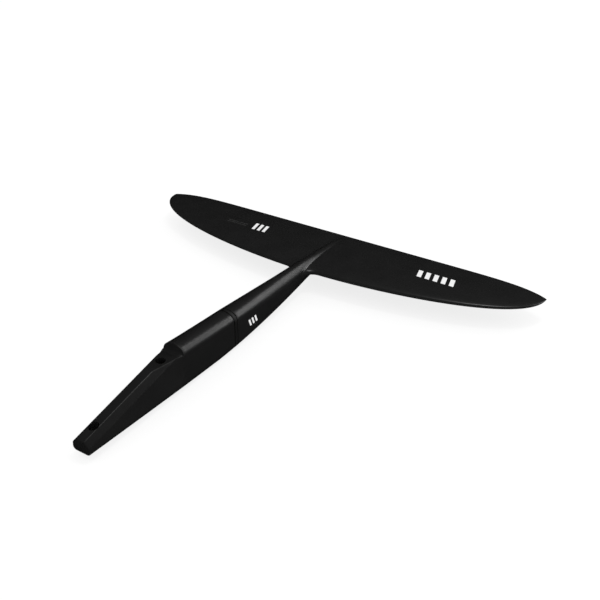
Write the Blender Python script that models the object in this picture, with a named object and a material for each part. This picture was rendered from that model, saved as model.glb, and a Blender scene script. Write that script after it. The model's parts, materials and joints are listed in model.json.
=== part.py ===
"""Tail wing of a hydrofoil: a slim rear fuselage with a wedge tongue at its
nose and a thin stabiliser wing across its tail.

Sizes below are millimetres. Modelling axes: X spans the wing, Y runs from the
nose (negative) to the stabiliser's trailing edge at 0, Z is up from the
stabiliser's chord plane. The finished objects are shifted so that the world
origin lies on the level seat of the tongue, where the front foil clamps down.
"""

import math

import bmesh
import bpy
import numpy as np

MM = 0.001
WELD = 0.001  # points closer than this are one, where a loft closes on itself

# ---- driving dimensions -------------------------------------------------
GAP = 0.3  # clearance between two bonded pieces
SPAN = 329.0
ROOT_CHORD = 64.4
TIP_SWEEP = 8.9  # how far forward the trailing edge is at the tips
SKIN = 1.0  # laminate of the stabiliser
EDGE_THICKNESS = 0.8  # stabiliser's leading and trailing edge
ROOT_THICKNESS = 6.8
SPAR_FRONT, SPAR_REAR = 0.25, 0.42  # chord shares of the spar
SPAR_CAP = 0.6
SPAR_SHARE = 0.70  # how far out the spar and long cores reach, of half span
CORE_END_SHARE = 0.88
TIP_SHARE = 0.999  # the skins stop here, where the chord nearly closes
WING_SEAM = 0.3  # gap between upper and lower skin

BODY_LENGTH = 285.5  # nose to trailing edge
BODY_HALF_WIDTH = 8.0
CROWN_HEIGHT = 15.7  # top of the step above the chord plane
KEEL_DEPTH = 15.1
NOSE_RISE = 3.9  # belly at the nose above the keel's deepest point
KEEL_STATION = 114.5  # deepest point of the keel, behind the nose
ARCH_RISE = 6.2
TAIL_RISE_GAIN = 0.45  # share by which the arch's rise grows on the way to the wing
LEAST_SHOULDER = 0.3  # the arch starts at least this far above the chord plane
BELLY_RADIUS = 4.0
NOSE_BELLY_RADIUS = 2.5
NOSE_BELLY_HALF = 6.5  # half width low on the tongue at its nose, widening to the step
TAIL_HALF_WIDTH = 5.0  # fuselage at the wing's leading edge
FADE_HALF_WIDTH = 1.0  # fairing where it would reach the trailing edge
TAIL_CROWN = 7.0
CROWN_SINK = 0.5  # the crown line has sunk this far at the trailing edge
SHELL = 1.4  # rear shell laminate
MOULDING_WALL = 2.0  # front moulding behind its step

STEP_STATION = 79.3  # step face behind the nose
TONGUE_HALF_WIDTH = 6.2
TONGUE_RAMP_HALF = 3.0
TONGUE_CHAMFER_RISE = 3.5
TONGUE_SLOPE = 0.218
SEAT_HEIGHT = 10.0
SEAT_END = 72.7  # where the tongue's side edges reach the seat, behind the nose
SEAT_POINT = 60.5  # the origin, behind the nose
STEP_FILLET = 3.5
FILLET_SHARE = 0.8  # how much of its quarter circle climbs the step face
LEAST_CHAMFER = 0.05

SCREW_BORE = 6.2
SCREW_HEAD_BORE = 11.0  # takes a 10 mm cap head
FRONT_SCREW = 11.0  # behind the nose
SCREW_SPACING = 56.6
FRONT_HEAD_DEPTH = 4.0
REAR_HEAD_DEPTH = 12.0
SCREW_SEAT_THICKNESS = 1.5

BAND_STATION = 131.1  # middle of the joint band, behind the nose
BAND_WIDTH = 2.6
BAND_GROOVE = 0.6

POCKET_FLOOR = 8.2  # solid laminate behind the step face
SPIGOT_LENGTH = 60.0
SPIGOT_HALF_WIDTH = 3.4
SPIGOT_TOP, SPIGOT_BOTTOM = 5.0, -7.0
LONGERON_HALF_WIDTH = 2.0
LONGERON_THICKNESS = 1.4
TAIL_BLOCK_LENGTH = 17.0
SHELL_STOP = 1.6  # the rear shells end this far ahead of the wing
MIN_CORE = 0.3  # thinnest half height of a core's edge
THINNEST_FAIRING = 0.6
LEAST_RADIUS = 0.4
OVERRUN = 5.0  # how far a cutter runs past the piece it cuts
SLOT_OVERRUN = 2.0
SLOT_OPEN = 9  # a slot reaches this many gaps past its strip, so it is open

# ---- stations worked out from them --------------------------------------
NOSE = -BODY_LENGTH
STEP = NOSE + STEP_STATION
KEEL = NOSE + KEEL_STATION
LEADING_EDGE = -ROOT_CHORD
BAND_FRONT = NOSE + BAND_STATION - BAND_WIDTH / 2
BAND_REAR = BAND_FRONT + BAND_WIDTH
FRONT_END = BAND_FRONT - BAND_GROOVE
REAR_START = BAND_REAR + BAND_GROOVE
POCKET_START = STEP + POCKET_FLOOR
SHELL_END = LEADING_EDGE - SHELL_STOP
SPIGOT_START = NOSE + BAND_STATION - SPIGOT_LENGTH / 2
BLOCK_START = SHELL_END - TAIL_BLOCK_LENGTH
EDGE_END = NOSE + SEAT_END
HALF_SPAN = SPAN / 2


# ---- the stabiliser's shape ---------------------------------------------
def leading_edge(x):
    """Superellipse: full chord at the root, closing at the tip."""
    t = np.minimum(np.abs(x) / HALF_SPAN, 1.0)
    return -(TIP_SWEEP + (ROOT_CHORD - TIP_SWEEP) * (1 - t**1.85) ** 0.46)


def trailing_edge(x):
    """Straight, sweeping forward only at the tips."""
    return -TIP_SWEEP * (np.abs(x) / HALF_SPAN) ** 10


def foil_half(c):
    """Half thickness of a symmetric foil at chord share c, 1 at its thickest."""
    root = 0.2969 * np.sqrt(c) - 0.126 * c - 0.3516 * c**2
    return (root + 0.2843 * c**3 - 0.1036 * c**4) * 10.0


def wing_half(x, c):
    """Half thickness of the stabiliser, blunt by half the edge thickness."""
    chord = trailing_edge(x) - leading_edge(x)
    bulge = (ROOT_THICKNESS - EDGE_THICKNESS) / 2 * chord / ROOT_CHORD
    return EDGE_THICKNESS / 2 + bulge * foil_half(c)


def wing_y(x, c):
    """Place along Y of chord share c."""
    return leading_edge(x) + c * (trailing_edge(x) - leading_edge(x))


def root_top(y):
    """Half thickness of the stabiliser at its root, at station y."""
    return wing_half(0.0, min(max((y + ROOT_CHORD) / ROOT_CHORD, 0.0), 1.0))


# ---- the fuselage's shape -----------------------------------------------
def crown(y):
    """Top line: falls from the step to the wing, then fades into it."""
    if y > LEADING_EDGE:
        share = y / LEADING_EDGE
        return TAIL_CROWN * share**0.8 - CROWN_SINK * (1 - share)
    share = max(y - STEP, 0.0) / (LEADING_EDGE - STEP)
    return CROWN_HEIGHT - (CROWN_HEIGHT - TAIL_CROWN) * share**0.85


def belly(y):
    """Bottom line: deepest at the keel station, rising to both ends."""
    if y > KEEL:
        return -KEEL_DEPTH * (1 - ((y - KEEL) / -KEEL) ** 1.67)
    return -KEEL_DEPTH + NOSE_RISE * ((KEEL - y) / KEEL_STATION) ** 1.15


def tail_share(y):
    """0 at the joint band, 1 at the wing's leading edge."""
    return min(max((y - REAR_START) / (LEADING_EDGE - REAR_START), 0.0), 1.0)


def half_width(y):
    """Half width of the flat sides."""
    if y > LEADING_EDGE:
        narrowing = TAIL_HALF_WIDTH - FADE_HALF_WIDTH
        return FADE_HALF_WIDTH + narrowing * (y / LEADING_EDGE) ** 0.9
    narrowing = BODY_HALF_WIDTH - TAIL_HALF_WIDTH
    if y > STEP:
        return BODY_HALF_WIDTH - narrowing * tail_share(y) ** 1.5
    flare = min(max((y - EDGE_END) / (STEP - EDGE_END), 0.0), 1.0)
    return TONGUE_HALF_WIDTH + (BODY_HALF_WIDTH - TONGUE_HALF_WIDTH) * flare


def arch_rise(y):
    """Height of the half ellipse on top: it grows aft, as the section turns into an egg."""
    grown = ARCH_RISE * (1 + TAIL_RISE_GAIN * tail_share(y) ** 0.8)
    return min(grown, crown(y) - LEAST_SHOULDER)


def arch(width, shoulder, rise, count=9):
    """Half ellipse from the right shoulder over the crown to the left."""
    angles = np.linspace(0.0, math.pi, 2 * count - 1)
    return [(width * math.cos(a), shoulder + rise * math.sin(a)) for a in angles]


def keel_curve(width, bottom, radius, count=5):
    """From the left side round the two belly corners to the right side."""
    angles = np.linspace(math.pi, 1.5 * math.pi, count)
    middle = bottom + radius
    turn = [(radius * math.cos(a) - width + radius, middle + radius * math.sin(a)) for a in angles]
    return turn + [(-x, z) for x, z in reversed(turn)]


def body_section(y, inset=0.0):
    """Closed outline behind the step: flat sides, arched crown, round belly."""
    width = half_width(y) - inset
    rise = arch_rise(y) - inset
    shoulder = crown(y) - arch_rise(y)
    radius = min(BELLY_RADIUS, half_width(y) - 1.0) - inset
    radius = max(radius, LEAST_RADIUS)
    return arch(width, shoulder, rise) + keel_curve(width, belly(y) + inset, radius)


def tongue_section(y, count=9):
    """Outline of the tongue: flat top, chamfered edges, round belly."""
    run = (TONGUE_HALF_WIDTH - TONGUE_RAMP_HALF) / TONGUE_CHAMFER_RISE
    along = min(max((y - EDGE_END) / (STEP - EDGE_END), 0.0), 1.0)
    shoulder = CROWN_HEIGHT - ARCH_RISE
    edge = SEAT_HEIGHT + min(TONGUE_SLOPE * (y - EDGE_END), -LEAST_CHAMFER)
    edge += (shoulder - edge) * along
    top = min(edge + TONGUE_CHAMFER_RISE, SEAT_HEIGHT)
    width = half_width(y)
    flat = width - run * (top - edge)

    into_fillet = max(y - (STEP - STEP_FILLET), 0.0)
    climb = STEP_FILLET - math.sqrt(max(STEP_FILLET**2 - into_fillet**2, 0.0))

    def surface(x):
        """The flat top, curving up to the step face but inside its arch."""
        roof = shoulder + ARCH_RISE * math.sqrt(max(1 - (x / BODY_HALF_WIDTH) ** 2, 0.0))
        return top + min(FILLET_SHARE * climb, max(roof - top - LEAST_CHAMFER, 0.0))

    right = [(width, edge)]
    right += [(flat * s, surface(flat * s)) for s in np.linspace(1, 0, count - 1)]
    left = [(-x, z) for x, z in reversed(right[:-1])]
    forward = 1 - (y - NOSE) / STEP_STATION
    radius = BELLY_RADIUS - (BELLY_RADIUS - NOSE_BELLY_RADIUS) * forward
    lower = BODY_HALF_WIDTH - (BODY_HALF_WIDTH - NOSE_BELLY_HALF) * forward
    return right + left + keel_curve(lower, belly(y), radius)


def body_top_half(y, outer=True):
    """Upper shell from foot to foot over the crown, its outer or inner face."""
    inset = 0.0 if outer else SHELL
    shoulder = crown(y) - arch_rise(y)
    width = half_width(y) - inset
    foot = WING_SEAM / 2
    return [(width, foot)] + arch(width, shoulder, arch_rise(y) - inset) + [(-width, foot)]


def body_lower_half(y, outer=True):
    """Lower shell from foot to foot round the belly, its outer or inner face."""
    inset = 0.0 if outer else SHELL
    width = half_width(y) - inset
    radius = max(min(BELLY_RADIUS, half_width(y) - 1.0) - inset, LEAST_RADIUS)
    foot = -WING_SEAM / 2
    return [(-width, foot)] + keel_curve(width, belly(y) + inset, radius) + [(width, foot)]


# ---- making objects -----------------------------------------------------
def clear_scene():
    for old in list(bpy.data.objects):
        bpy.data.objects.remove(old, do_unlink=True)


def material(name, colour, roughness, metallic=0.0):
    made = bpy.data.materials.new(name)
    made.use_nodes = True
    shader = made.node_tree.nodes["Principled BSDF"]
    shader.inputs["Base Color"].default_value = (*colour, 1.0)
    shader.inputs["Roughness"].default_value = roughness
    shader.inputs["Metallic"].default_value = metallic
    return made


def add_object(name, points, faces, finish):
    """One closed mesh, in millimetres of the modelling axes."""
    shift = np.array([0.0, NOSE + SEAT_POINT, SEAT_HEIGHT])
    mesh = bpy.data.meshes.new(name)
    mesh.from_pydata(((np.array(points) - shift) * MM).tolist(), [], faces)
    work = bmesh.new()
    work.from_mesh(mesh)
    bmesh.ops.remove_doubles(work, verts=work.verts, dist=WELD * MM)
    bmesh.ops.recalc_face_normals(work, faces=work.faces)
    work.to_mesh(mesh)
    work.free()
    mesh.shade_smooth()
    mesh.set_sharp_from_angle(angle=math.radians(30))
    made = bpy.data.objects.new(name, mesh)
    bpy.context.collection.objects.link(made)
    if finish:
        made.data.materials.append(finish)
    else:
        made.hide_render = True
        made.display_type = "WIRE"
    return made


def loft(name, rings, finish=None):
    """Skin a row of equal-length closed rings of 3-D points, with flat ends."""
    size = len(rings[0])
    points = [p for ring in rings for p in ring]
    faces = []
    for r in range(len(rings) - 1):
        for i in range(size):
            j = (i + 1) % size
            a, b = r * size, (r + 1) * size
            faces.append((a + i, a + j, b + j, b + i))
    faces.append(tuple(range(size)))
    faces.append(tuple(range((len(rings) - 1) * size, len(rings) * size)))
    return add_object(name, points, faces, finish)


def along_body(name, stations, outline, finish=None):
    """Loft outlines given as (x, z) pairs for each station y."""
    return loft(name, [[(x, y, z) for x, z in outline(y)] for y in stations], finish)


def along_span(name, stations, outline, finish=None):
    """Loft outlines given as (y, z) pairs for each place x on the span."""
    return loft(name, [[(x, y, z) for y, z in outline(x)] for x in stations], finish)


def upright_cylinder(name, y, radius, bottom, top, finish=None, sides=32):
    angles = [2 * math.pi * i / sides for i in range(sides)]
    disc = [(radius * math.cos(a), y + radius * math.sin(a)) for a in angles]
    rings = [[(x, v, z) for x, v in disc] for z in (bottom, top)]
    return loft(name, rings, finish)


def carve(target, *cutters):
    for cutter in cutters:
        cut = target.modifiers.new("cut_" + cutter.name, "BOOLEAN")
        cut.operation = "DIFFERENCE"
        cut.solver = "EXACT"
        cut.object = cutter


def box_outline(half, bottom, top):
    """Upright rectangle about the middle plane."""
    return [(half, bottom), (half, top), (-half, top), (-half, bottom)]


# ---- front moulding -----------------------------------------------------
def screw_places():
    """Station, depth of the screw head's bore, name, front screw first."""
    front = NOSE + FRONT_SCREW
    return (
        (front, FRONT_HEAD_DEPTH, "front"),
        (front + SCREW_SPACING, REAR_HEAD_DEPTH, "rear"),
    )


def spigot_cutter(name):
    ends = (SPIGOT_START - GAP, SPIGOT_START + SPIGOT_LENGTH + GAP)
    low, high = SPIGOT_BOTTOM - GAP, SPIGOT_TOP + GAP
    return along_body(name, ends, lambda y: box_outline(SPIGOT_HALF_WIDTH + GAP, low, high))


def make_connector(finish):
    """Tongue and the arched body behind its step, hollow towards the band."""
    knee = EDGE_END - TONGUE_CHAMFER_RISE / TONGUE_SLOPE
    fillet = [STEP - STEP_FILLET * s for s in (1.0, 0.6, 0.3, 0.1)]
    tongue = [*np.linspace(NOSE, knee, 6), *np.linspace(knee, EDGE_END, 4)[1:], *fillet]
    rings = [[(x, y, z) for x, z in tongue_section(y)] for y in tongue]
    rings.append([(x, STEP, z) for x, z in tongue_section(STEP)])
    for y in np.linspace(STEP, FRONT_END, 7):
        rings.append([(x, y, z) for x, z in body_section(y)])
    moulding = loft("connector_body", rings, finish)
    ends = np.linspace(POCKET_START, FRONT_END + OVERRUN, 6)
    pocket = along_body("pocket_cutter", ends, lambda y: body_section(y, MOULDING_WALL))
    carve(moulding, pocket)
    for y, depth, name in screw_places():
        floor = belly(y) - OVERRUN
        bore = upright_cylinder(f"bore_{name}", y, SCREW_BORE / 2, floor, CROWN_HEIGHT)
        head = upright_cylinder(f"head_{name}", y, SCREW_HEAD_BORE / 2, floor, belly(y) + depth)
        carve(moulding, bore, head)
    return moulding


def make_screw_seats(finish):
    """Steel rings that the two screw heads bear on, inside the belly bores."""
    for y, depth, name in screw_places():
        top = belly(y) + depth - GAP
        bottom = top - SCREW_SEAT_THICKNESS
        radius = SCREW_HEAD_BORE / 2 - GAP
        ring = upright_cylinder(f"screw_seat_{name}", y, radius, bottom, top, finish)
        hole = upright_cylinder(f"hole_{name}", y, SCREW_BORE / 2, bottom - 1, top + 1)
        carve(ring, hole)


def make_front_core(finish):
    inset = MOULDING_WALL + GAP
    stations = np.linspace(POCKET_START + GAP, FRONT_END, 6)
    core = along_body("connector_core", stations, lambda y: body_section(y, inset), finish)
    carve(core, spigot_cutter("spigot_cutter_front"))


# ---- joint --------------------------------------------------------------
def make_joint(band_finish, spigot_finish):
    stations = np.linspace(BAND_FRONT, BAND_REAR, 3)
    band = along_body("seam_band", stations, body_section, band_finish)
    carve(band, spigot_cutter("spigot_cutter_band"))
    ends = (SPIGOT_START, SPIGOT_START + SPIGOT_LENGTH)
    box = (SPIGOT_HALF_WIDTH, SPIGOT_BOTTOM, SPIGOT_TOP)
    along_body("joiner_spigot", ends, lambda y: box_outline(*box), spigot_finish)


# ---- rear fuselage ------------------------------------------------------
def longeron_outline(y, side, extra=0.0):
    """Strip under the crown (side 1) or over the keel (side -1), or its slot."""
    half = LONGERON_HALF_WIDTH
    if side > 0:
        width = half_width(y) - SHELL
        drop = (arch_rise(y) - SHELL) * math.sqrt(1 - (half / width) ** 2)
        face = crown(y) - arch_rise(y) + drop - GAP
        return box_outline(half + extra, face - LONGERON_THICKNESS - extra, face + SLOT_OPEN * extra)
    face = belly(y) + SHELL + GAP
    return box_outline(half + extra, face - SLOT_OPEN * extra, face + LONGERON_THICKNESS + extra)


def make_rear_fuselage(shell_finish, core_finish, strip_finish, block_finish):
    stations = np.linspace(REAR_START, SHELL_END, 13)
    top = lambda y: body_top_half(y) + body_top_half(y, outer=False)[::-1]
    bottom = lambda y: body_lower_half(y) + body_lower_half(y, outer=False)[::-1]
    along_body("rear_shell_upper", stations, top, shell_finish)
    along_body("rear_shell_lower", stations, bottom, shell_finish)

    inner = lambda y: body_section(y, SHELL + GAP)
    core = along_body("rear_core", np.linspace(REAR_START, BLOCK_START - GAP, 10), inner, core_finish)
    carve(core, spigot_cutter("spigot_cutter_rear"))
    for side, name in ((1, "crown_longeron"), (-1, "keel_longeron")):
        ends = np.linspace(REAR_START, BLOCK_START - GAP, 10)
        along_body(name, ends, lambda y: longeron_outline(y, side), strip_finish)
        longer = np.linspace(REAR_START - SLOT_OVERRUN, BLOCK_START + SLOT_OVERRUN, 10)
        cutter = along_body(name + "_slot", longer, lambda y: longeron_outline(y, side, GAP))
        carve(core, cutter)
    along_body("tail_block", np.linspace(BLOCK_START, SHELL_END, 3), inner, block_finish)


def fairing_end(line):
    """Last station at which the body line still stands clear of the wing."""
    stations = np.linspace(LEADING_EDGE, 0.0, 200)
    clear = [y for y in stations if abs(line(y)) - root_top(y) - GAP > THINNEST_FAIRING]
    return max(clear)


def make_root_fairings(finish):
    """Solid fillers that carry the body lines on over and under the wing."""
    def upper(y):
        base = root_top(y) + GAP
        shoulder = max(crown(y) - arch_rise(y), base + 0.05)
        width = half_width(y)
        return [(width, base)] + arch(width, shoulder, crown(y) - shoulder) + [(-width, base)]

    def lower(y):
        base = -root_top(y) - GAP
        width = half_width(y)
        radius = min(BELLY_RADIUS, 0.8 * width, 0.8 * (base - belly(y)))
        return [(-width, base)] + keel_curve(width, belly(y), radius) + [(width, base)]

    for name, outline, line in (
        ("root_fairing_upper", upper, crown),
        ("root_fairing_lower", lower, belly),
    ):
        along_body(name, np.linspace(SHELL_END + GAP, fairing_end(line), 14), outline, finish)


# ---- stabiliser ---------------------------------------------------------
def inner_half(x, c):
    """Half height left for cores and spar inside the skins."""
    return wing_half(x, c) - SKIN - GAP


def skin_outline(x, side):
    """Outer face from leading to trailing edge and the inner face back."""
    shares = (1 - np.cos(np.linspace(0, math.pi, 15))) / 2
    outer = [(wing_y(x, c), side * wing_half(x, c)) for c in shares]
    seam = WING_SEAM / 2
    inner = [(wing_y(x, c), side * max(wing_half(x, c) - SKIN, seam)) for c in shares[1:-1]]
    ends = [(wing_y(x, 0.0), side * seam)], [(wing_y(x, 1.0), side * seam)]
    return outer + ends[1] + inner[::-1] + ends[0]


def core_reach(x):
    """Chord shares between which the core is thicker than its thinnest edge."""
    shares = np.linspace(0.0, 1.0, 400)
    inside = shares[inner_half(x, shares) > MIN_CORE]
    return inside[0], inside[-1]


def core_outline(x, front, rear, count=8):
    shares = np.linspace(front, rear, count)
    top = [(wing_y(x, c), inner_half(x, c)) for c in shares]
    return top + [(y, -z) for y, z in reversed(top)]


def spar_outline(x, bottom, top):
    """Four-sided strip between two heights given at each chord share."""
    edges = (SPAR_FRONT, SPAR_REAR)
    upper = [(wing_y(x, c), top(x, c)) for c in edges]
    return upper + [(wing_y(x, c), bottom(x, c)) for c in reversed(edges)]


def span_stations(start, end, count):
    """Places along the span, closer together towards the tip."""
    return start + (end - start) * np.sin(np.linspace(0, math.pi / 2, count))


def make_stabiliser(skin_finish, spar_finish, core_finish):
    tip = TIP_SHARE * HALF_SPAN
    port = tip * np.sin(np.linspace(0, math.pi / 2, 17))
    whole = [*-port[:0:-1], *port]
    along_span("stab_upper_skin", whole, lambda x: skin_outline(x, 1), skin_finish)
    along_span("stab_lower_skin", whole, lambda x: skin_outline(x, -1), skin_finish)

    reach = SPAR_SHARE * HALF_SPAN
    spar = np.linspace(-reach, reach, 17)
    limit = lambda x, c: min(inner_half(x, SPAR_FRONT), inner_half(x, SPAR_REAR))
    cap_low = lambda x, c: limit(x, c) - SPAR_CAP
    web = lambda x, c: limit(x, c) - SPAR_CAP - GAP
    flip = lambda height: lambda x, c: -height(x, c)
    along_span("spar_cap_upper", spar, lambda x: spar_outline(x, cap_low, limit), spar_finish)
    along_span("spar_cap_lower", spar, lambda x: spar_outline(x, flip(limit), flip(cap_low)), spar_finish)
    along_span("spar_web", spar, lambda x: spar_outline(x, flip(web), web), spar_finish)

    def fore(x):
        chord = trailing_edge(x) - leading_edge(x)
        return core_outline(x, core_reach(x)[0], SPAR_FRONT - GAP / chord)

    def aft(x):
        chord = trailing_edge(x) - leading_edge(x)
        return core_outline(x, SPAR_REAR + GAP / chord, core_reach(x)[1])

    for side, name in ((1, "port"), (-1, "starboard")):
        inboard = span_stations(GAP / 2, reach, 10)
        along_span(f"core_{name}_fore", side * inboard, fore, core_finish)
        along_span(f"core_{name}_aft", side * inboard, aft, core_finish)
        outboard = span_stations(reach + GAP, CORE_END_SHARE * HALF_SPAN, 6)
        whole_core = lambda x: core_outline(x, *core_reach(x))
        along_span(f"core_{name}_tip", side * outboard, whole_core, core_finish)


def main():
    clear_scene()
    carbon = material("satin_carbon", (0.012, 0.012, 0.013), 0.42)
    band = material("dark_seam", (0.006, 0.006, 0.007), 0.6)
    fibre = material("raw_carbon_bar", (0.03, 0.03, 0.032), 0.5)
    foam = material("core_foam", (0.55, 0.47, 0.30), 0.9)
    filler = material("epoxy_filler", (0.05, 0.05, 0.055), 0.6)
    steel = material("stainless_steel", (0.6, 0.6, 0.6), 0.35, 1.0)

    make_connector(carbon)
    make_screw_seats(steel)
    make_front_core(foam)
    make_joint(band, fibre)
    make_rear_fuselage(carbon, foam, fibre, filler)
    make_root_fairings(carbon)
    make_stabiliser(carbon, fibre, foam)


main()
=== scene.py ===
# %% [markdown]
# # The tail wing of a hydrofoil
# A hydrofoil's tail wing keeps the board level under way. A slim fuselage runs
# forward from it and ends in a wedge that slides into the front foil. The
# functional solids come ready made; here they get the surfaces a hand would
# feel: rounded edges, a wing that grows out of the fuselage, and satin black
# laminate.

# %% Load the frame
import json
import math

import bmesh
import bpy
import numpy as np
from mathutils import Matrix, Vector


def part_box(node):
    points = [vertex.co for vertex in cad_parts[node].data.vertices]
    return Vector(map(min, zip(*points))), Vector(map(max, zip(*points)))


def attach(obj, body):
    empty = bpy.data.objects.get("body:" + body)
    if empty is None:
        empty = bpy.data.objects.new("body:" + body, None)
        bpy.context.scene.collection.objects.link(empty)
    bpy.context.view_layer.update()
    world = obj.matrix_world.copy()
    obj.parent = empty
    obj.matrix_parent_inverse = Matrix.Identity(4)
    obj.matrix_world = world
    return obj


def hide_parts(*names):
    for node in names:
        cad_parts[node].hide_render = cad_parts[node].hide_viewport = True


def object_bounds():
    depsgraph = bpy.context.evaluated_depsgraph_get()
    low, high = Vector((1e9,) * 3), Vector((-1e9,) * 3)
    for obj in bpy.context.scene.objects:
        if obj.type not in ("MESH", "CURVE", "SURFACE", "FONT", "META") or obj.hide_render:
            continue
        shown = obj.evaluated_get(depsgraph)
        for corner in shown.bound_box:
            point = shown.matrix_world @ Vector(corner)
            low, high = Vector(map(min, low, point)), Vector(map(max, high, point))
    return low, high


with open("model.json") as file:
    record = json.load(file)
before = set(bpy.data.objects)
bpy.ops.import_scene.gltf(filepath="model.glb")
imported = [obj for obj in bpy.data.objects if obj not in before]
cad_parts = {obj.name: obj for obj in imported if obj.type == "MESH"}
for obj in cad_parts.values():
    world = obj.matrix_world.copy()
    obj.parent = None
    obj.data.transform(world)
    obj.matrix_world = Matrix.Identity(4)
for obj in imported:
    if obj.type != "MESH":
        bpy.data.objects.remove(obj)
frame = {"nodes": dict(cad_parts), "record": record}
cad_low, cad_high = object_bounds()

print("frame loaded:", len(frame["nodes"]), "nodes")

# %% [markdown]
# ## One ruler for everything
# Every length is read from the solids, in millimetres. Two natural references
# make the formulas short: Y counts from the wing's trailing edge, which is 0,
# and Z counts from the wing's flat chord plane. One shift at the end puts each
# finished surface back where the solids are.

# %% Read the driving sizes
METRE = 1000.0


def node_box(name):
    """Lowest and highest corner of a solid, in millimetres."""
    low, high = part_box(name)
    return np.array(low) * METRE, np.array(high) * METRE


wing_low, wing_high = node_box("stab_upper_skin")
_, under_high = node_box("stab_lower_skin")
front_low, front_high = node_box("connector_body")
band_low, band_high = node_box("seam_band")
shell_low, _ = node_box("rear_shell_lower")

TAIL = wing_high[1]
CHORD_PLANE = (wing_low[2] + under_high[2]) / 2
SHIFT = np.array([0.0, TAIL, CHORD_PLANE])

HALF_SPAN = wing_high[0]
ROOT_CHORD = TAIL - wing_low[1]
ROOT_HALF = wing_high[2] - CHORD_PLANE
NOSE = front_low[1] - TAIL
FRONT_END = front_high[1] - TAIL
BAND_FRONT = band_low[1] - TAIL
BAND_REAR = band_high[1] - TAIL
REAR_START = shell_low[1] - TAIL
BODY_HALF = front_high[0]
CROWN = front_high[2] - CHORD_PLANE
KEEL_DEPTH = CHORD_PLANE - front_low[2]
LEADING_EDGE = -ROOT_CHORD
SEAT = -CHORD_PLANE
print("span", round(2 * HALF_SPAN, 1), "chord", round(ROOT_CHORD, 1), "nose", round(NOSE, 1))

# %% [markdown]
# ## Lines of the fuselage
# A naval architect draws a hull by a few lines in side and plan view, and so
# does this script: the crown line on top, the belly line below, and the half
# width. They are the same curves as the solids follow.

# %% Fuselage lines
STEP = NOSE + 79.3
KEEL = NOSE + 114.5
TAIL_HALF = 5.0
TAIL_CROWN = 7.0
CROWN_SINK = 0.5
ARCH_RISE = 6.2
RISE_GAIN = 0.45
BELLY_RADIUS = 4.0
NOSE_RADIUS_LOSS = 1.5
NOSE_LIFT = 3.9
FADE_HALF = 1.0
LEAST_RADIUS = 0.4
EDGE_END = NOSE + 72.7
TONGUE_HALF = 6.2
NOSE_BELLY_HALF = 6.5
RAMP_HALF = 3.0
CHAMFER_RISE = 3.5
TONGUE_SLOPE = 0.218


def crown_line(y):
    """Falls as a power of the way from the step to the wing, then fades along the chord."""
    share = np.clip((y - STEP) / (LEADING_EDGE - STEP), 0, 1)
    ahead = CROWN - (CROWN - TAIL_CROWN) * share**0.85
    left = np.clip(y / LEADING_EDGE, 0, 1)
    over_wing = TAIL_CROWN * left**0.8 - CROWN_SINK * (1 - left)
    return np.where(y > LEADING_EDGE, over_wing, ahead)


def belly_line(y):
    """Deepest at the keel station, rising as a power of the distance both ways."""
    aft = -KEEL_DEPTH * (1 - np.clip((y - KEEL) / -KEEL, 0, 1) ** 1.67)
    fore = -KEEL_DEPTH + NOSE_LIFT * np.clip((KEEL - y) / (KEEL - NOSE), 0, 1) ** 1.15
    return np.where(y > KEEL, aft, fore)


def tail_share(y):
    """0 at the joint band, 1 at the wing's leading edge."""
    return np.clip((y - REAR_START) / (LEADING_EDGE - REAR_START), 0, 1)


def half_width(y):
    """Constant, then narrowing to the wing and on along the chord."""
    ahead = BODY_HALF - (BODY_HALF - TAIL_HALF) * tail_share(y) ** 1.5
    over_wing = FADE_HALF + (TAIL_HALF - FADE_HALF) * np.clip(y / LEADING_EDGE, 0, 1) ** 0.9
    return np.where(y > LEADING_EDGE, over_wing, ahead)


def arch_rise(y):
    """Height of the half ellipse on top: it grows aft, as the section turns into an egg."""
    ahead = ARCH_RISE * (1 + RISE_GAIN * tail_share(y) ** 0.8)
    return np.minimum(ahead, 0.94 * np.maximum(crown_line(y), 0) + 0.12)


def belly_radius(y):
    """Radius of the two belly corners, less where the fuselage is narrow."""
    return np.minimum(BELLY_RADIUS, np.maximum(half_width(y) - 1.0, LEAST_RADIUS))


belly_there = round(float(belly_line(LEADING_EDGE)), 1)
print("at the wing the crown is at", TAIL_CROWN, "mm and the belly at", belly_there, "mm")

# %% [markdown]
# ## From a grid of points to a mesh
# A lofted surface is a grid: one direction goes round the section, the other
# along the piece. Working out all points at once as arrays is quick, and it
# keeps each shape a formula. The two ends are closed by a fan of triangles.

# %% Mesh helpers
MERGE = 2e-6
SHARP = 32


def grid_faces(rows, columns):
    """Quads of a grid that closes on itself sideways, and a fan at each end."""
    index = np.arange(rows * columns).reshape(rows, columns)
    beside = np.roll(index, -1, axis=1)
    quads = np.stack([index[:-1], beside[:-1], beside[1:], index[1:]], axis=-1).reshape(-1, 4)
    first = np.stack([index[0], beside[0], np.full(columns, rows * columns)], axis=-1)
    last = np.stack([index[-1], beside[-1], np.full(columns, rows * columns + 1)], axis=-1)
    return quads.tolist() + first.tolist() + last.tolist()


def grid_points(grid):
    """The grid's points and the middles of its two end rings, in one list."""
    middles = np.stack([grid[0].mean(axis=0), grid[-1].mean(axis=0)])
    return np.concatenate([grid.reshape(-1, 3), middles])


def mesh_from(points, faces, name):
    """A clean, closed mesh in metres, doubles merged and faces turned outwards."""
    mesh = bpy.data.meshes.new(name)
    mesh.from_pydata(((points + SHIFT) / METRE).tolist(), [], faces)
    work = bmesh.new()
    work.from_mesh(mesh)
    bmesh.ops.remove_doubles(work, verts=work.verts, dist=MERGE)
    bmesh.ops.dissolve_degenerate(work, edges=work.edges, dist=MERGE / 4)
    bmesh.ops.recalc_face_normals(work, faces=work.faces)
    work.to_mesh(mesh)
    work.free()
    return mesh


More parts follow.
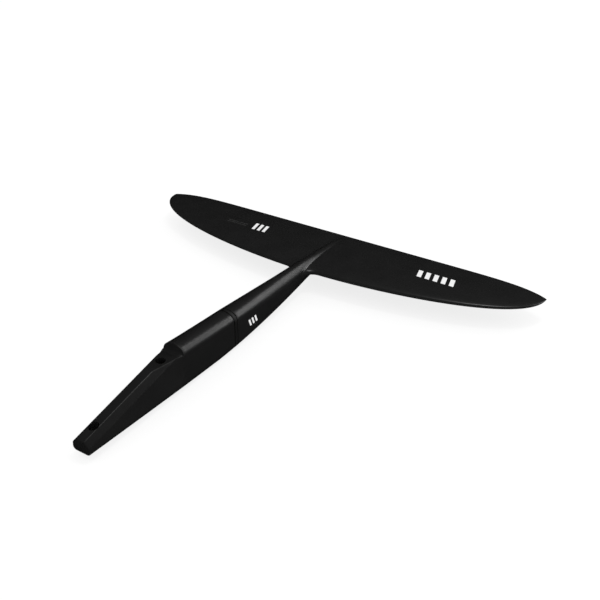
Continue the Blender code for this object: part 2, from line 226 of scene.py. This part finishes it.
def add_piece(name, mesh, finish, sharp=SHARP):
    """Links a mesh under a name, smooth except where faces meet sharply."""
    mesh.shade_smooth()
    mesh.set_sharp_from_angle(angle=math.radians(sharp))
    piece = bpy.data.objects.new(name, mesh)
    bpy.context.collection.objects.link(piece)
    mesh.materials.clear()
    mesh.materials.append(finish)
    print(name, len(mesh.polygons), "faces")
    return piece


def lofted(name, grid, finish, sharp=SHARP):
    """One closed piece from one grid."""
    mesh = mesh_from(grid_points(grid), grid_faces(*grid.shape[:2]), name)
    return add_piece(name, mesh, finish, sharp)


def mirrored(half):
    """Right half outline, belly to crown, and its mirror back down: a closed ring."""
    back = half[:, -2:0:-1] * np.array([-1.0, 1.0])
    return np.concatenate([half, back], axis=1)


def at_stations(rings, y):
    """Rings of (x, z) pairs put at their stations y."""
    place = np.broadcast_to(y[:, None], rings.shape[:2])
    return np.stack([rings[..., 0], place, rings[..., 1]], axis=-1)


# %% [markdown]
# ## Satin black laminate
# The real surface is carbon laminate under a thin matt varnish: nearly black,
# with a soft broad sheen. Perfect evenness looks like plastic, so a fine
# noise stretched along the fibres moves the roughness a little, a second one
# dents the normal by microns, and a slow one drifts the colour.

# %% Material helpers


def new_material(name, colour, roughness, metallic=0.0):
    """A plain finish, and its shader for what is set later."""
    made = bpy.data.materials.new(name)
    made.use_nodes = True
    shader = made.node_tree.nodes["Principled BSDF"]
    shader.inputs["Base Color"].default_value = (*colour, 1.0)
    shader.inputs["Roughness"].default_value = roughness
    shader.inputs["Metallic"].default_value = metallic
    return made, shader


def noise(tree, scale, stretch, detail):
    """Noise on the piece's own coordinates, in grains per metre, stretched by axis."""
    place = tree.nodes.new("ShaderNodeTexCoord")
    turn = tree.nodes.new("ShaderNodeMapping")
    turn.inputs["Scale"].default_value = stretch
    tree.links.new(place.outputs["Object"], turn.inputs["Vector"])
    made = tree.nodes.new("ShaderNodeTexNoise")
    made.inputs["Scale"].default_value = scale
    made.inputs["Detail"].default_value = detail
    tree.links.new(turn.outputs["Vector"], made.inputs["Vector"])
    return made


def spread(tree, source, low, high):
    """Maps a noise's useful middle onto low to high."""
    made = tree.nodes.new("ShaderNodeMapRange")
    made.inputs["From Min"].default_value = 0.3
    made.inputs["From Max"].default_value = 0.7
    made.inputs["To Min"].default_value = low
    made.inputs["To Max"].default_value = high
    tree.links.new(source.outputs["Fac"], made.inputs["Value"])
    return made


def two_tone(tree, source, dark, light, target):
    """Colours a socket between two tones by a noise."""
    ramp = tree.nodes.new("ShaderNodeValToRGB")
    ramp.color_ramp.elements[0].position = 0.3
    ramp.color_ramp.elements[1].position = 0.7
    ramp.color_ramp.elements[0].color = (*dark, 1.0)
    ramp.color_ramp.elements[1].color = (*light, 1.0)
    tree.links.new(source.outputs["Fac"], ramp.inputs["Fac"])
    tree.links.new(ramp.outputs["Color"], target)


def rough_and_bump(tree, shader, grain, roughness, depth):
    """Fine grain that moves the roughness and dents the normal."""
    tree.links.new(spread(tree, grain, *roughness).outputs["Result"], shader.inputs["Roughness"])
    bump = tree.nodes.new("ShaderNodeBump")
    bump.inputs["Strength"].default_value = 0.5
    bump.inputs["Distance"].default_value = depth
    tree.links.new(grain.outputs["Fac"], bump.inputs["Height"])
    tree.links.new(bump.outputs["Normal"], shader.inputs["Normal"])


def textured(name, dark, light, roughness, scale, stretch, depth, metallic=0.0):
    """A finish in two tones with a grain."""
    made, shader = new_material(name, dark, roughness[0], metallic)
    tree = made.node_tree
    two_tone(tree, noise(tree, scale / 12, (1, 1, 1), 2), dark, light, shader.inputs["Base Color"])
    rough_and_bump(tree, shader, noise(tree, scale, stretch, 4), roughness, depth)
    return made, shader


# %% Finishes of this object
FINE = 1.5e-5
INK = 4e-6
SHEEN = 0.42
laminate, laminate_shader = textured(
    "satin_black_laminate", (0.0085,) * 3, (0.0100,) * 3, (0.31, 0.36), 900, (1, 0.35, 1), FINE
)
laminate_shader.inputs["Specular IOR Level"].default_value = SHEEN
wing_laminate, wing_shader = textured(
    "satin_black_wing", (0.0100,) * 3, (0.0116,) * 3, (0.27, 0.32), 900, (0.3, 1, 1), FINE
)
wing_shader.inputs["Specular IOR Level"].default_value = SHEEN
EVEN = (1, 1, 1)
joint_black, _ = textured(
    "joint_black", (0.004,) * 3, (0.006,) * 3, (0.5, 0.62), 1500, EVEN, FINE
)
ink_white, _ = textured(
    "printed_white", (0.72,) * 3, (0.80,) * 3, (0.42, 0.5), 2000, EVEN, INK
)
ink_grey, _ = textured(
    "printed_grey", (0.030,) * 3, (0.040,) * 3, (0.5, 0.6), 2000, EVEN, INK
)
bare_fibre, _ = textured(
    "bare_fibre", (0.012,) * 3, (0.05,) * 3, (0.35, 0.6), 3000, (1, 0.05, 1), 3e-5
)
foam, _ = textured(
    "core_foam", (0.50, 0.42, 0.26), (0.62, 0.53, 0.34), (0.85, 0.95), 2500, EVEN, 8e-5
)
steel, _ = textured(
    "turned_steel", (0.50, 0.50, 0.51), (0.60,) * 3, (0.25, 0.4), 3000, (1, 1, 0.1), 1e-5, 1.0
)
print("finishes made:", len(bpy.data.materials))

# %% [markdown]
# ## Front moulding: the tongue
# The tongue is a wedge with a flat ramp, a level seat and chamfered edges. No
# moulded edge is knife sharp, so each corner of the section is a short curve,
# and these thin rounds are what catches the light along the real piece. The
# section is built from straight runs and curves with fixed numbers of points,
# so that all sections connect.

# %% Section of the tongue
EDGE_ROUND = 0.45
NOSE_ROUND = 0.5
STEP_FILLET = 3.5
RIM_ROUND = 0.4
RIM_MARGIN = 0.7
RUNS = (5, 8, 8, 5, 5, 5, 13)


def run(a, b, count, closed=False):
    """Points on the straight way from a to b, without b unless closed."""
    s = np.linspace(0, 1, count, endpoint=closed)[None, :, None]
    return a[:, None] * (1 - s) + b[:, None] * s


def bend(a, corner, b, count):
    """A parabola from a to b, drawn by its corner point."""
    s = np.linspace(0, 1, count, endpoint=False)[None, :, None]
    return (1 - s) ** 2 * a[:, None] + 2 * s * (1 - s) * corner[:, None] + s**2 * b[:, None]


def pair(x, z):
    """Points (x, z) from two arrays or numbers."""
    return np.stack(np.broadcast_arrays(x, z), axis=-1).astype(float)


def towards(a, b, length):
    """The point that far from a on the way to b, at most 0.45 of the way."""
    way = b - a
    size = np.maximum(np.linalg.norm(way, axis=-1, keepdims=True), 1e-9)
    return a + way / size * np.minimum(length, 0.45 * size)


def belly_half(width, bottom, radius):
    """From the belly's centre round its corner: a straight run, then a quarter circle."""
    angle = np.linspace(-math.pi / 2, 0, RUNS[1], endpoint=False)[None, :, None]
    centre = pair(width - radius, bottom + radius)[:, None]
    turn = np.concatenate([np.cos(angle), np.sin(angle)], axis=-1) * radius[:, None, None]
    floor_run = run(pair(0 * width, bottom), pair(width - radius, bottom), RUNS[0])
    return np.concatenate([floor_run, centre + turn], axis=1)


def soft_min(a, b, width):
    """The smaller of two values, rounded over where they cross."""
    return (a + b - np.sqrt((a - b) ** 2 + width**2)) / 2


def roof(x):
    """Height of the step's arch above a place x."""
    return CROWN - ARCH_RISE + ARCH_RISE * np.sqrt(np.clip(1 - (x / BODY_HALF) ** 2, 0, 1))


def fillet_climb(x, y):
    """How far a quarter circle at the foot of the step has risen at (x, y)."""
    radius = np.clip(roof(x) - SEAT - RIM_MARGIN, 0, STEP_FILLET)
    into = np.clip(y - (STEP - radius), 0, radius)
    return radius - np.sqrt(np.maximum(radius**2 - into**2, 0))


def tongue_half(y):
    """Right half of the tongue's outline at stations y, belly to crown."""
    flare = np.clip((y - EDGE_END) / (STEP - EDGE_END), 0, 1)
    flare = flare * flare * (3 - 2 * flare)
    forward = np.clip(1 - (y - NOSE) / (STEP - NOSE), 0, 1)
    width = TONGUE_HALF + (BODY_HALF - TONGUE_HALF) * flare
    edge = SEAT + np.minimum(TONGUE_SLOPE * (y - EDGE_END), -0.3)
    edge = edge + (CROWN - ARCH_RISE - edge) * flare
    top = soft_min(edge + CHAMFER_RISE, SEAT + 0 * y, 0.12)
    slope = (TONGUE_HALF - RAMP_HALF) / CHAMFER_RISE
    side_edge = pair(width, edge)
    ramp_edge = pair(width - slope * (top - edge), top)
    radius = BELLY_RADIUS - NOSE_RADIUS_LOSS * forward
    lower = BODY_HALF - (BODY_HALF - NOSE_BELLY_HALF) * forward
    belly = belly_half(lower, belly_line(y), radius)
    side_foot = pair(lower, belly_line(y) + radius)
    middle = pair(0 * y, top)
    below = towards(side_edge, side_foot, EDGE_ROUND)
    beyond = towards(side_edge, ramp_edge, EDGE_ROUND)
    before = towards(ramp_edge, side_edge, EDGE_ROUND)
    after = towards(ramp_edge, middle, EDGE_ROUND)
    half = np.concatenate([
        belly,
        run(side_foot, below, RUNS[2]),
        bend(below, side_edge, beyond, RUNS[3]),
        run(beyond, before, RUNS[4]),
        bend(before, ramp_edge, after, RUNS[5]),
        run(after, middle, RUNS[6], closed=True),
    ], axis=1)
    upper = sum(RUNS[:3])
    half[:, upper:, 1] += fillet_climb(half[:, upper:, 0], y[:, None])
    return half


# %% [markdown]
# ## Front moulding: the arched body
# Behind the step the section turns into flat sides under a half ellipse. It
# has as many points as the tongue's, so the flat step face between the two is
# only more rows of the same grid.

# %% Section of the body


def body_half(y, inset=0.0):
    """Right half outline behind the step; inset pulls in the arch, most at its crown."""
    width = half_width(y)
    rise = arch_rise(y)
    shoulder = crown_line(y) - rise
    radius = belly_radius(y)
    belly = belly_half(width, belly_line(y), radius)
    side = run(pair(width, belly_line(y) + radius), pair(width, shoulder), RUNS[2])
    angle = np.linspace(0, math.pi / 2, sum(RUNS[3:]))[None, :]
    pull = np.broadcast_to(np.asarray(inset, float), y.shape)[:, None]
    pull = pull * np.minimum(3 * np.sin(angle), 1)
    x = (width[:, None] - pull) * np.cos(angle)
    z = shoulder[:, None] + (rise[:, None] - pull) * np.sin(angle)
    return np.concatenate([belly, side, np.stack([x, z], axis=-1)], axis=1)


def shrunk(rings, inset):
    """Rings pulled in all round by an inset, by scaling about their middles."""
    low, high = rings.min(axis=1, keepdims=True), rings.max(axis=1, keepdims=True)
    middle, reach = (low + high) / 2, (high - low) / 2
    return middle + (rings - middle) * (1 - inset[:, None, None] / reach)


def front_rings():
    """All rings of the front moulding from its nose to the joint band."""
    turn = np.linspace(0, math.pi / 2, 6)
    knee = EDGE_END - CHAMFER_RISE / TONGUE_SLOPE
    nose_y = NOSE + NOSE_ROUND * (1 - np.cos(turn))
    nose = shrunk(mirrored(tongue_half(nose_y)), NOSE_ROUND * (1 - np.sin(turn)))
    fillet = STEP - STEP_FILLET * np.cos(np.linspace(0, math.pi / 2, 14))
    ahead = np.concatenate([
        np.linspace(nose_y[-1], knee - 1.5, 34)[1:],
        np.linspace(knee - 1.5, knee + 1.5, 9)[1:],
        np.linspace(knee + 1.5, EDGE_END, 14)[1:],
        np.linspace(EDGE_END, fillet[0], 5)[1:-1],
        fillet,
    ])
    tongue = mirrored(tongue_half(ahead))
    rim_y = STEP + RIM_ROUND * (1 - np.cos(turn))
    rim = mirrored(body_half(rim_y, RIM_ROUND * (1 - np.sin(turn))))
    shares = np.array([0.35, 0.7])[:, None, None]
    face = tongue[-1:] * (1 - shares) + rim[:1] * shares
    body_y = np.linspace(rim_y[-1], FRONT_END - GROOVE_ROUND, 26)[1:]
    end_y = FRONT_END - GROOVE_ROUND * (1 - np.sin(turn[1:]))
    end = shrunk(mirrored(body_half(end_y)), GROOVE_ROUND * (1 - np.cos(turn[1:])))
    rings = np.concatenate([nose, tongue, face, rim, mirrored(body_half(body_y)), end])
    stations = np.concatenate([nose_y, ahead, np.full(2, STEP), rim_y, body_y, end_y])
    return at_stations(rings, stations)


# %% [markdown]
# ## Screw bores
# Two screws come up from the belly, so each bore is narrow at the top and wide
# below, where the screw's head sinks in. The cutter is a turned profile, and
# an exact Boolean takes it out of the moulding. Its place comes from the steel
# seat that the head bears on.

# %% Build the front moulding
GROOVE_ROUND = 0.12
BORE_RADIUS = 3.1
FIT_GAP = 0.3
OVERRUN = 5


def turned(profile, x, y, sides=72):
    """A profile of (radius, height) pairs carried round the upright line at (x, y)."""
    angle = np.linspace(0, 2 * math.pi, sides, endpoint=False)[None, :]
    radius, height = np.array(profile).T[:, :, None]
    across, along = radius * np.cos(angle), radius * np.sin(angle)
    return np.stack([x + across, y + along, height + 0 * angle], axis=-1)


def bore_cutter(seat_name):
    """Wide up to the seat's top, then as narrow as the screw, up through the roof."""
    low, high = node_box(seat_name)
    x, y, _ = (low + high) / 2 - SHIFT
    wide = (high[0] - low[0]) / 2 + FIT_GAP
    floor = high[2] - CHORD_PLANE + FIT_GAP
    deep, high_up = -KEEL_DEPTH - OVERRUN, CROWN + OVERRUN
    profile = [(wide, deep), (wide, floor), (BORE_RADIUS, floor), (BORE_RADIUS, high_up)]
    grid = turned(profile, x, y)
    return lofted("cutter_" + seat_name, grid, laminate)


def cut_out(piece, cutters):
    """Takes the cutters out with exact Booleans and keeps the result as the mesh."""
    for cutter in cutters:
        cut = piece.modifiers.new("bore", "BOOLEAN")
        cut.operation = "DIFFERENCE"
        cut.solver = "EXACT"
        cut.object = cutter
    done = piece.evaluated_get(bpy.context.evaluated_depsgraph_get())
    mesh = bpy.data.meshes.new_from_object(done)
    piece.modifiers.clear()
    piece.data = mesh
    mesh.set_sharp_from_angle(angle=math.radians(SHARP))
    for cutter in cutters:
        bpy.data.objects.remove(cutter, do_unlink=True)


front_moulding = lofted("front_moulding", front_rings(), laminate)
cut_out(front_moulding, [bore_cutter("screw_seat_front"), bore_cutter("screw_seat_rear")])
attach(front_moulding, "root")
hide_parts("connector_body")
print("front moulding bored:", len(front_moulding.data.polygons), "faces")

# %% [markdown]
# ## Joint band
# Where the front moulding meets the rear fuselage, a narrow band lies flush
# between two fine grooves. The band has a low collar on each side, which is
# the floor of its groove, and its own edges are rounded over.

# %% Build the joint band
GROOVE_DEPTH = 0.7
CLEAR = 0.02


def band_rings():
    """Low collar, rounded edge, flush face, rounded edge, low collar."""
    turn = np.linspace(0, math.pi / 2, 5)
    rise_y = BAND_FRONT + GROOVE_ROUND * (1 - np.cos(turn))
    fall_y = BAND_REAR - GROOVE_ROUND * (1 - np.cos(turn[::-1]))
    front_collar, rear_collar = [FRONT_END + CLEAR, BAND_FRONT], [BAND_REAR, REAR_START - CLEAR]
    stations = np.concatenate([front_collar, rise_y, fall_y, rear_collar])
    low = np.full(2, GROOVE_DEPTH)
    rounding = GROOVE_ROUND * (1 - np.sin(turn))
    inset = np.concatenate([low, rounding, rounding[::-1], low])
    return at_stations(shrunk(mirrored(body_half(stations)), inset), stations)


joint_band = lofted("joint_band", band_rings(), joint_black)
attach(joint_band, "root")
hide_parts("seam_band")

# %% [markdown]
# ## Rear fuselage
# The rear fuselage is one long loft. It keeps its section while it narrows,
# then runs on over the wing and sinks into it before the trailing edge.

# %% Build the rear fuselage
FADE_END = -4.0


def rear_rings():
    """Rings from the joint band to where the body has sunk into the wing."""
    turn = np.linspace(0, math.pi / 2, 5)
    start_y = REAR_START + GROOVE_ROUND * (1 - np.cos(turn))
    start = shrunk(mirrored(body_half(start_y)), GROOVE_ROUND * (1 - np.sin(turn)))
    along = np.concatenate([
        np.linspace(start_y[-1], LEADING_EDGE, 48)[1:],
        np.linspace(LEADING_EDGE, FADE_END, 42)[1:],
    ])
    rings = np.concatenate([start, mirrored(body_half(along))])
    return at_stations(rings, np.concatenate([start_y, along]))


rear_fuselage = lofted("rear_fuselage", rear_rings(), laminate)
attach(rear_fuselage, "root")
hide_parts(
    "rear_shell_upper",
    "rear_shell_lower",
    "root_fairing_upper",
    "root_fairing_lower",
)

# %% [markdown]
# ## The wing
# The plan is a superellipse with a straight trailing edge, and the section is
# a classic symmetric foil. What makes it look moulded and not assembled is the
# root: the leading edge flares forward into the fuselage, and the wing's
# surface climbs softly up its sides. A smooth maximum of two heights, the
# foil's and the fuselage's, gives that fillet without any Boolean.

# %% Shape of the wing
TIP_SWEEP = 8.9
EDGE_HALF = 0.36
FLARE = 9.0
ROOT_BLEND = 2.2
UNDERLAP = 0.03


def leading_line(x):
    """Superellipse of the distance from the root."""
    t = np.clip(np.abs(x) / HALF_SPAN, 0, 1)
    return -(TIP_SWEEP + (ROOT_CHORD - TIP_SWEEP) * (1 - t**1.85) ** 0.46)


def trailing_line(x):
    """Straight, sweeping forward as a tenth power at the tips."""
    return -TIP_SWEEP * np.clip(np.abs(x) / HALF_SPAN, 0, 1) ** 10


def flared_line(x):
    """Leading edge with a quarter-circle flare towards the fuselage's side."""
    beside = np.clip(np.abs(x) - TAIL_HALF, 0, FLARE)
    return leading_line(x) - (FLARE - np.sqrt(FLARE**2 - (FLARE - beside) ** 2))


def foil(c):
    """Thickness of a symmetric foil along chord share c, 1 at its thickest."""
    root = 0.2969 * np.sqrt(c) - 0.126 * c - 0.3516 * c**2
    return 10 * (root + 0.2843 * c**3 - 0.1036 * c**4)


def edge_swell(c):
    """Grows like a circle over the first part of the chord and closes like one at the last."""
    front = np.sqrt(np.clip(1 - (1 - np.clip(c / 0.03, 0, 1)) ** 2, 0, 1))
    rear = np.sqrt(np.clip(1 - (np.clip(c - 0.988, 0, 0.012) / 0.012) ** 2, 0, 1))
    return front * rear, rear


def wing_height(x, c):
    """Half thickness of the bare wing at span place x and chord share c."""
    t = np.clip(np.abs(x) / HALF_SPAN, 0, 1)
    swell, rear = edge_swell(c)
    chord = trailing_line(x) - leading_line(x)
    bulge = (ROOT_HALF - EDGE_HALF) * chord / ROOT_CHORD
    return EDGE_HALF * swell * np.sqrt(1 - t**12) + bulge * foil(c) * rear


def side_fall(x, y, shoulder, c):
    """Steep slope outside the fuselage's flat side, lower near the wing's nose."""
    soft = np.clip(c / 0.10, 0, 1)
    lowered = 4 * (1 - soft * soft * (3 - 2 * soft))
    return shoulder - 7 * (np.abs(x) - half_width(y)) - lowered


def crown_height(x, y, c):
    """Fuselage's upper surface as a height, falling steeply outside its sides."""
    width, rise = half_width(y), arch_rise(y)
    shoulder = crown_line(y) - rise
    dome = shoulder + rise * np.sqrt(np.clip(1 - (x / width) ** 2, 0, 1))
    return np.where(np.abs(x) < width, dome, side_fall(x, y, shoulder, c)) - UNDERLAP


def belly_height(x, y, c):
    """The same for the fuselage's lower surface, counted downwards."""
    width, radius = half_width(y), belly_radius(y)
    past = np.clip(np.abs(x) - (width - radius), 0, radius)
    depth = -belly_line(y) - (radius - np.sqrt(np.maximum(radius**2 - past**2, 0)))
    outside = side_fall(x, y, -belly_line(y) - radius, c)
    return np.where(np.abs(x) < width, depth, outside) - UNDERLAP


def smooth_max(a, b, blend):
    """The larger of two heights with a fillet where they cross."""
    near = np.clip(blend - np.abs(a - b), 0, None) / np.maximum(blend, 1e-6)
    return np.maximum(a, b) + near**2 * blend / 4


def blended(x, y, c, body, line):
    """Wing height joined to the fuselage's; the fillet shrinks as the body fades."""
    ends = np.clip(c / 0.05, 0, 1) * np.clip((1 - c) / 0.1, 0, 1)
    blend = ROOT_BLEND * np.clip(line / 3, 0, 1) * ends
    near_body = np.abs(x) < BODY_HALF + 8
    return np.where(near_body, smooth_max(wing_height(x, c), body, blend), wing_height(x, c))


def wing_grid():
    """Rings round the section, upper side from the trailing edge and lower side back."""
    inner = np.concatenate([np.linspace(0, 10, 56), np.linspace(10, 22, 16)[1:]])
    outer = HALF_SPAN * np.sin(np.linspace(math.asin(22 / HALF_SPAN), math.pi / 2, 76))[1:]
    right = np.concatenate([inner, outer])
    x = np.concatenate([-right[:0:-1], right])[:, None]
    share = (1 - np.cos(np.linspace(0, math.pi, 64))) / 2
    c = share[None, :]
    nose, tail = flared_line(x), trailing_line(x)
    y = nose + c * (tail - nose)
    inside = (c > 0) & (c < 1)
    upper = np.where(inside, blended(x, y, c, crown_height(x, y, c), crown_line(y)), 0)
    lower = np.where(inside, -blended(x, y, c, belly_height(x, y, c), -belly_line(y)), 0)
    place = np.broadcast_to(x, y.shape)
    top = np.stack([place, y, upper], axis=-1)[:, ::-1]
    bottom = np.stack([place, y, lower], axis=-1)[:, 1:-1]
    return np.concatenate([top, bottom], axis=1)


# %% Build the wing
wing = lofted("stabiliser", wing_grid(), wing_laminate, sharp=40)
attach(wing, "root")
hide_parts("stab_upper_skin", "stab_lower_skin")

# %% [markdown]
# ## Printed marks
# The real wing carries printed marks. Plain slanted bars and thin lines stand
# in their places. Each bar is a film a few hundredths of a millimetre thick
# that follows the surface, so it needs no image and exports as a real piece.

# %% Build the printed marks
FILM = 0.03


def wing_top(x, y):
    """Height of the wing's upper surface at a place, away from the fuselage."""
    nose, tail = flared_line(x), trailing_line(x)
    return wing_height(x, np.clip((y - nose) / (tail - nose), 0, 1))


def film_points(low, high, lean, lift, steps=9):
    """A leaning bar between two corners, as rings over its top and back below."""
    u = np.linspace(low[0], high[0], 5)[None, :]
    v = np.linspace(low[1], high[1], steps)[:, None]
    across = u + lean * (v - low[1])
    v = v + 0 * across
    over, under = lift(across, v, FILM), lift(across, v, -FILM)
    return np.concatenate([over, under[:, ::-1]], axis=1)


def on_wing(u, v, lift):
    """u runs along the span, v along the chord."""
    return np.stack([u, v, wing_top(u, v) + lift], axis=-1)


def on_port_side(u, v, lift):
    """u runs along the fuselage, v up its flat side."""
    return np.stack([half_width(u) + lift, u, v], axis=-1)


def printed(name, bars, lift, finish):
    """Joins one closed film for each bar into a single piece."""
    points, faces, start = [], [], 0
    for low, high, lean in bars:
        grid = film_points(low, high, lean, lift)
        points.append(grid_points(grid))
        faces += [[start + i for i in face] for face in grid_faces(*grid.shape[:2])]
        start += len(points[-1])
    piece = add_piece(name, mesh_from(np.concatenate(points), faces, name), finish)
    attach(piece, "root")
    return piece


def bar_row(first, pitch, count, width, bottom, top, lean):
    """Evenly spaced bars of one size."""
    starts = [first + i * pitch for i in range(count)]
    return [((start, bottom), (start + width, top), lean) for start in starts]


printed("mark_port", bar_row(77.0, 6.2, 5, 3.4, -32.6, -22.6, -0.25), on_wing, ink_white)
printed("mark_starboard", bar_row(-66.0, 4.8, 3, 2.6, -34.0, -23.0, -0.25), on_wing, ink_white)
thin_lines = [((-92.0, y), (-73.0, y + 0.7), 0.0) for y in (-32.0, -29.5)]
printed("fine_lines", thin_lines, on_wing, ink_grey)
printed("mark_side", bar_row(-139.0, 3.4, 3, 1.8, -5.6, -0.4, -0.35), on_port_side, ink_white)

# %% [markdown]
# ## What is inside
# The cores, spars and screw seats keep the solids' own shapes. Each gets the
# finish of its stuff: sanded foam, bare fibre, or turned steel.

# %% Finish the inner solids
inner_finish = {"core_foam": foam, "raw_carbon": bare_fibre, "stainless_steel": steel}
for part in frame["record"]["subparts"]:
    solid = bpy.data.objects.get(part["node"])
    finish = inner_finish.get(part["material_slot"])
    if solid and finish:
        for slot in solid.material_slots:
            slot.link = "OBJECT"
            slot.material = finish
print("inner solids finished")

# %% [markdown]
# ## Floor, light and camera
# The wing is shown on a plain white floor that glows by itself, so it stays
# bright and the shadow on it is faint. Everything black gets its tone from the
# white surroundings, and three soft boxes draw the sheen: a long one behind to
# the right along the crown, and two small ones on the thin rounded edges of the
# tongue. The floor is kept out of reflections, because it would turn the black
# sides grey.

# %% Floor and light
floor_mesh = bpy.data.meshes.new("floor")
reach = 12.0
floor_z = cad_low[2] - 0.0003
corners = ((-1, -1), (1, -1), (1, 1), (-1, 1))
floor_points = [(reach * x, reach * y, floor_z) for x, y in corners]
floor_mesh.from_pydata(floor_points, [], [(0, 1, 2, 3)])
floor = bpy.data.objects.new("floor", floor_mesh)
bpy.context.collection.objects.link(floor)
pale, pale_shader = new_material("pale_floor", (0.2, 0.2, 0.2), 0.9)
pale_shader.inputs["Specular IOR Level"].default_value = 0.0
pale_shader.inputs["Emission Color"].default_value = (1, 1, 1, 1)
pale_shader.inputs["Emission Strength"].default_value = 0.8
pale.cycles.emission_sampling = "NONE"
floor_mesh.materials.append(pale)
floor.visible_glossy = False
floor.visible_diffuse = False

scene = bpy.context.scene
scene.view_settings.view_transform = "Standard"
world = bpy.data.worlds.new("studio")
world.use_nodes = True
world.node_tree.nodes["Background"].inputs["Color"].default_value = (1, 1, 1, 1)
world.node_tree.nodes["Background"].inputs["Strength"].default_value = 1.0
world.cycles_visibility.glossy = False
scene.world = world


def direction(azimuth, elevation):
    """Unit vector; azimuth turns from +Y towards +X."""
    a, e = math.radians(azimuth), math.radians(elevation)
    return np.array([math.sin(a) * math.cos(e), math.cos(a) * math.cos(e), math.sin(e)])


def aim(thing, place, target, length):
    """Puts a light at a place, facing the target, with its width along a direction."""
    back = np.array(place) - np.array(target)
    back = back / np.linalg.norm(back)
    side = length - back * (length @ back)
    side = side / np.linalg.norm(side)
    up = np.cross(back, side)
    turn = Matrix([[side[i], up[i], back[i], place[i]] for i in range(3)] + [[0, 0, 0, 1]])
    thing.matrix_world = turn


def strip_light(name, start, end, distance, height, power):
    """A long soft box whose ends stand in two directions of (azimuth, elevation)."""
    low, high = direction(*start), direction(*end)
    middle = np.array((cad_low + cad_high) / 2)
    place = middle + (low + high) / np.linalg.norm(low + high) * distance
    lamp = bpy.data.lights.new(name, "AREA")
    lamp.shape = "RECTANGLE"
    lamp.size = 2 * distance * math.tan(math.acos(float(low @ high)) / 2)
    lamp.size_y = height
    lamp.energy = power
    box = bpy.data.objects.new(name, lamp)
    bpy.context.collection.objects.link(box)
    aim(box, place, middle, high - low)


strip_light("crown_light", (20, 39), (46, 4), 1.4, 0.22, 5.2)
strip_light("chamfer_light", (22, 76), (48, 74), 1.4, 0.25, 3.0)
strip_light("side_light", (56, -4), (64, -4), 1.4, 0.2, 1.6)

# %% Camera
LENS, SENSOR = 50.0, 36.0
BACK = np.array([0.4634, -0.7205, 0.5158])
UP = np.array([-0.2790, 0.4339, 0.8567])
RIGHT = np.array([0.8411, 0.5409, 0.0])
STAND = np.array([0.2868, -0.5119 + TAIL / METRE, 0.2941 + CHORD_PLANE / METRE])

lens = bpy.data.cameras.new("camera")
lens.lens, lens.sensor_width = LENS, SENSOR
camera = bpy.data.objects.new("camera", lens)
bpy.context.collection.objects.link(camera)
camera.matrix_world = Matrix(
    [[RIGHT[i], UP[i], BACK[i], STAND[i]] for i in range(3)] + [[0, 0, 0, 1]]
)
scene.camera = camera
print("camera", [round(float(v), 3) for v in STAND])
